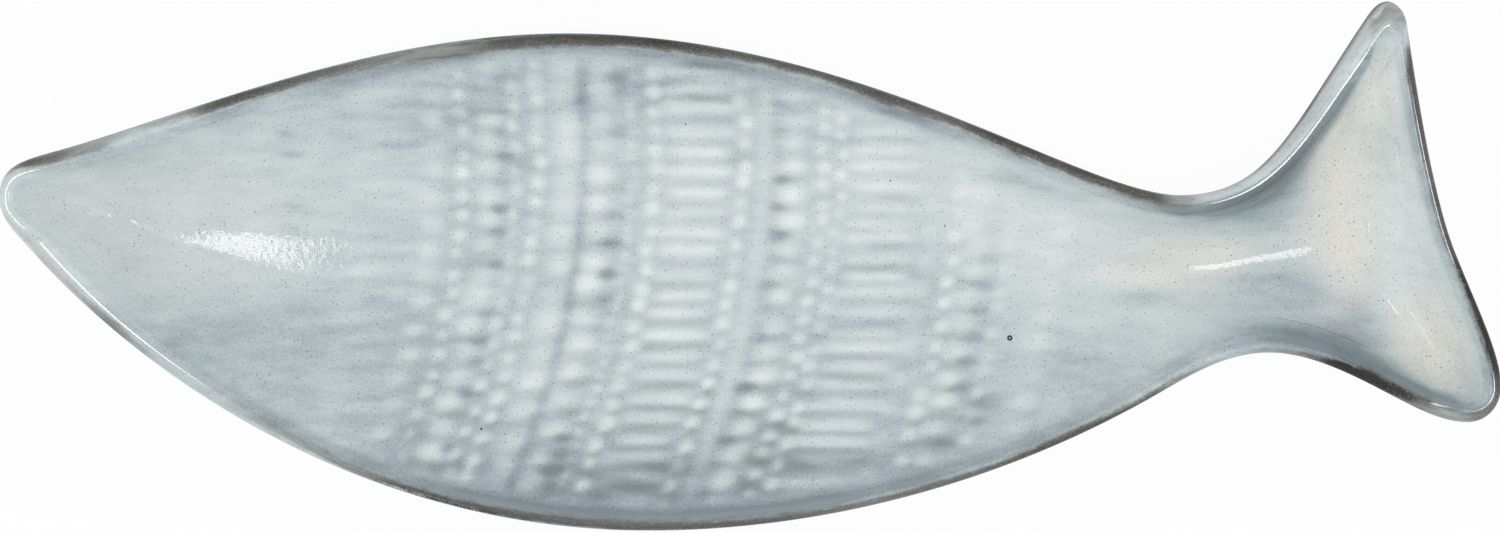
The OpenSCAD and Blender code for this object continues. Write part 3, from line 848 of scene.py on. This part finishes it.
glazeLook = {
    "thickness": [
        (0.0, colour(241, 246, 244)), (0.3, colour(217, 226, 226)), (0.5, colour(199, 211, 213)),
        (0.7, colour(172, 185, 191)), (1.0, colour(126, 140, 147)),
    ],
    "deep": colour(92, 106, 109),
    "streak": colour(128, 138, 138),
    "cream": colour(242, 237, 228),
    "iron": colour(42, 42, 37),
    "ironPale": colour(118, 119, 110),
    "ironDark": colour(18, 17, 15),
    "speck": colour(88, 84, 78),
    # place and radius in mm
    "pinholes": [
        (62.9, -18.6, 0.7), (-66, -40.2, 0.28), (33.4, 20.3, 0.2), (46.8, 9.0, 0.2), (-16.1, 34.2, 0.2),
    ],
    # scales of the patterns, and how much each moves the thickness
    "cloudScale": 55, "smearScale": 300, "grainScale": 2300, "speckScale": 950,
    "lineScale": 130, "tearScale": 260, "peelScale": 680, "peelHeight": 0.00003, "smearDraw": (0.28, 1, 0.6),
    "level": 0.48, "pressed": 0.5, "clouds": 0.24, "smears": 0.42, "grain": 0.42,
    # ranges over which each feature comes in
    "deepIn": (1.12, 1.6), "speckIn": (0.1, 0.24), "speckChance": (0.4, 0.8), "grainIn": (0.45, 0.75),
    "stainNear": (-0.8, 0.8), "stainFar": (-0.5, 3.4), "paleIn": (0.36, 0.62), "burnIn": (0.3, 1.0),
    "darkLines": (0.43, 0.52), "darkFrom": (-2.7, -1.5), "darkTo": (-0.7, 0.5), "crestOut": (0.5, 2.0),
    "gloss": 0.05, "dullness": 0.4, "crestIor": 1.9, "wellIor": 1.45,
}


def glazeMaterial(name):
    look = glazeLook
    material, wire = startMaterial(name)
    spot = wire.node("ShaderNodeTexCoord", output="Object")
    field = lambda key: wire.node("ShaderNodeAttribute", {"attribute_name": key}, output="Fac")
    keys = ("edge", "brim", "burn", "dull", "start", "fade", "relief", "streak", "thick", "cream")
    edge, brim, burn, dull, start, fade, relief, streak, thick, cream = (field(key) for key in keys)
    clouds = noise(wire, spot, look["cloudScale"], 3)
    drawn = wire.node("ShaderNodeVectorMath", {"operation": "MULTIPLY"}, {0: spot, 1: look["smearDraw"]})
    smears = noise(wire, drawn, look["smearScale"], 3, 0.6)
    grain = noise(wire, spot, look["grainScale"], 2)
    # the level takes in the painted light and shade laid with the thickness
    level = look["level"] + thick - look["pressed"] * relief
    for amount, pattern in ((look["clouds"], clouds), (look["smears"], smears), (look["grain"], grain)):
        level = level + amount * (pattern - 0.5)
    glaze = wire.node("ShaderNodeValToRGB", {"stops": look["thickness"]}, {"Fac": level})
    glaze = wire.blend(level.ramp(*look["deepIn"]), glaze, look["deep"])
    glaze = wire.blend(0.8 * cream, glaze, look["cream"])
    glaze = wire.blend(0.9 * streak, glaze, look["streak"])
    # fine specks of iron all over, a few larger pinholes listed
    cells = wire.node("ShaderNodeTexVoronoi", {}, {"Vector": spot, "Scale": look["speckScale"]})
    chance = wire.node("ShaderNodeTexVoronoi", {}, {"Vector": spot, "Scale": look["speckScale"]}, "Color")
    chance = wire.node("ShaderNodeSeparateColor", {}, {"Color": chance})
    specks = (1 - cells.ramp(*look["speckIn"])) * chance.ramp(*look["speckChance"])
    specks = (0.6 + 0.25 * cream) * specks + 0.25 * cream * grain.ramp(*look["grainIn"])
    glaze = wire.blend(specks, glaze, look["speck"])
    for x, y, radius in look["pinholes"]:
        away = wire.node("ShaderNodeVectorMath", {"operation": "MULTIPLY"}, {0: spot, 1: (1000, 1000, 0)})
        away = wire.node("ShaderNodeVectorMath", {"operation": "DISTANCE"}, {0: away, 1: (x, y, 0)}, "Value")
        hole = 1 - away.ramp(radius * 0.8, radius * 1.1)
        if radius > 0.5:
            # the largest one has a pale middle, a painted highlight in its pit
            hole = hole * away.ramp(radius * 0.1, radius * 0.45)
        glaze = wire.blend(hole, glaze, look["ironDark"])
    # the glaze breaks to brown over the lip, in fine lines along it, darkest just outside the fade
    way = wire.node("ShaderNodeCombineXYZ", {}, {0: field("turnX"), 1: field("turnY"), 2: 0.011 * edge})
    lines = noise(wire, way, look["lineScale"], 4, 0.65)
    tears = noise(wire, spot, look["tearScale"], 4, 0.65)
    ragged = edge - fade + 1.5 * (lines - 0.5) + 1.2 * (tears - 0.5)
    band = wire.node("ShaderNodeMapRange", {"interpolation_type": "SMOOTHSTEP"}, {
        "Value": edge + 1.2 * (lines - 0.5), "From Min": start, "From Max": start + 0.8,
    })
    stain = (1 - ragged.ramp(*look["stainNear"])) * 0.86 + (1 - ragged.ramp(*look["stainFar"])) * 0.14
    # the brim's iron stands partly for a painted dark reflection where the edge turns away
    brown = wire.maths("MAXIMUM", wire.maths("MULTIPLY", stain * band, burn, True), brim)
    iron = wire.blend(lines.ramp(*look["paleIn"]), look["iron"], look["ironPale"])
    glaze = wire.blend(brown, glaze, iron)
    fine = noise(wire, spot, look["grainScale"], 2, 0.6)
    dark = (0.35 * fine + 0.65 * lines).ramp(*look["darkLines"])
    dark = dark * ragged.ramp(*look["darkFrom"]) * (1 - ragged.ramp(*look["darkTo"]))
    dark = dark * burn.ramp(*look["burnIn"]) + 3.0 * (burn - 1.0) * brown
    glaze = wire.blend(wire.maths("MINIMUM", dark, 0.95, True), glaze, look["ironDark"])
    peel = bump(wire, noise(wire, spot, look["peelScale"], 2), look["peelHeight"])
    # the glaze shines most where it runs over the crest
    shiny = wire.node("ShaderNodeBsdfPrincipled", {}, {
        "Base Color": glaze, "Roughness": look["gloss"], "IOR": look["crestIor"],
    })
    plain = wire.node("ShaderNodeBsdfPrincipled", {}, {
        "Base Color": glaze, "Roughness": look["gloss"] + look["dullness"] * dull, "IOR": look["wellIor"],
        "Normal": peel,
    })
    crest = (1 - wire.maths("ABSOLUTE", edge).ramp(*look["crestOut"])) * (1 - dull)
    shader = wire.node("ShaderNodeMixShader", {}, {0: crest, 1: plain, 2: shiny})
    # the very edge is burnt dry
    matte = wire.node("ShaderNodeBsdfPrincipled", {}, {
        "Base Color": glaze, "Roughness": 1.0, "Specular IOR Level": 0.0,
    })
    # the very edge is partly burnt dry, and made matte so its painted dark reflection stays dark
    shader = wire.node("ShaderNodeMixShader", {}, {0: 0.9 * brim, 1: shader, 2: matte})
    wire.node("ShaderNodeOutputMaterial", {}, {"Surface": shader})
    return material


clayLook = {
    "clay": colour(196, 178, 152), "dark": colour(150, 132, 108), "speck": colour(92, 78, 64),
    "cloudScale": 60, "speckScale": 700, "gritScale": 2200, "gritHeight": 0.00006,
    "darkIn": (0.3, 0.75), "speckIn": (0.08, 0.22), "roughness": 0.85,
}


def clayMaterial(name):
    look = clayLook
    material, wire = startMaterial(name)
    spot = wire.node("ShaderNodeTexCoord", output="Object")
    clouds = noise(wire, spot, look["cloudScale"], 4, 0.6)
    base = wire.blend(clouds.ramp(*look["darkIn"]), look["clay"], look["dark"])
    cells = wire.node("ShaderNodeTexVoronoi", {}, {"Vector": spot, "Scale": look["speckScale"]})
    base = wire.blend(0.7 * (1 - cells.ramp(*look["speckIn"])), base, look["speck"])
    grit = bump(wire, noise(wire, spot, look["gritScale"], 3, 0.7), look["gritHeight"])
    shader = wire.node("ShaderNodeBsdfPrincipled", {}, {
        "Base Color": base, "Roughness": look["roughness"], "Normal": grit,
    })
    wire.node("ShaderNodeOutputMaterial", {}, {"Surface": shader})
    return material


glazed, bare = glazeMaterial("reactiveGlaze"), clayMaterial("bareStoneware")
for piece, node, slot, material in (
    (wellGlaze, "well_glaze", "pale_glaze", glazed),
    (rimGlaze, "rim_glaze", "rim_glaze", glazed),
    (outerGlaze, "outer_glaze", "outer_glaze", glazed),
    (stonewareClay, "stoneware_shell", "bare_clay", bare),
    (footRing, "foot_ring", "bare_clay", bare),
):
    piece.data.materials.clear()
    piece.data.materials.append(material)
    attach(piece, "root")
    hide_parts(node)
print("finishes laid on")

# camera above the dish, tipped a little from the back's side
cameraPlan = {
    "distance": 0.90, "tilt": 7, "lens": 89.757, "sensor": 36, "near": 0.01, "aim": (-0.00058, 0.0004, 0.022),
}


def makeCamera():
    plan = cameraPlan
    data = bpy.data.cameras.new("camera")
    camera = bpy.data.objects.new("camera", data)
    bpy.context.scene.collection.objects.link(camera)
    tilt = math.radians(plan["tilt"])
    x, y, z = plan["aim"]
    camera.location = (x, y + plan["distance"] * math.sin(tilt), z + plan["distance"] * math.cos(tilt))
    camera.rotation_euler = (-tilt, 0, 0)
    data.sensor_width = plan["sensor"]
    data.lens = plan["lens"]
    data.clip_start = plan["near"]
    bpy.context.scene.camera = camera


makeCamera()

# softboxes: place, breadth, length, power
studio = {
    "world": 0.92,
    "softboxes": [(-0.292, -0.153, 1.2, 0.066, 0.19, 0.31), (0.288, -0.14, 1.2, 0.09, 0.19, 0.42)],
    "floor": 6.0,
    "floorGlow": 0.93,
    "paper": (0.95, 0.95, 0.95, 1),
}


def makeStudio():
    world = bpy.data.worlds.new("studio")
    bpy.context.scene.world = world
    world.use_nodes = True
    world.node_tree.nodes["Background"].inputs["Color"].default_value = (1, 1, 1, 1)
    world.node_tree.nodes["Background"].inputs["Strength"].default_value = studio["world"]
    for n, (x, y, z, across, along, power) in enumerate(studio["softboxes"]):
        data = bpy.data.lights.new(f"softbox{n}", "AREA")
        data.shape = "RECTANGLE"
        data.size, data.size_y = across, along
        data.energy = power
        lamp = bpy.data.objects.new(f"softbox{n}", data)
        lamp.location = (x, y, z)
        lamp.rotation_euler = (-math.atan2(y, z), math.atan2(x, z), 0)
        bpy.context.scene.collection.objects.link(lamp)
    bpy.ops.object.select_all(action="DESELECT")
    bpy.ops.mesh.primitive_plane_add(size=studio["floor"])
    floor = bpy.context.active_object
    floor.name = "floor"
    material, wire = startMaterial("paperFloor")
    # the paper glows to the camera and in reflections, and is plain to all other light
    ray = lambda key: wire.node("ShaderNodeLightPath", output=key)
    seen = ray("Is Camera Ray") + ray("Is Glossy Ray") + ray("Is Transmission Ray")
    seen = wire.maths("MINIMUM", seen, 1.0)
    paper = wire.node("ShaderNodeBsdfDiffuse", {}, {"Color": studio["paper"]})
    glow = wire.node("ShaderNodeEmission", {}, {"Color": (1, 1, 1, 1), "Strength": 1.0})
    both = wire.node("ShaderNodeMixShader", {}, {0: studio["floorGlow"] * seen, 1: paper, 2: glow})
    wire.node("ShaderNodeOutputMaterial", {}, {"Surface": both})
    floor.data.materials.append(material)


makeStudio()
bpy.context.scene.view_settings.view_transform = "Standard"
print("studio set")
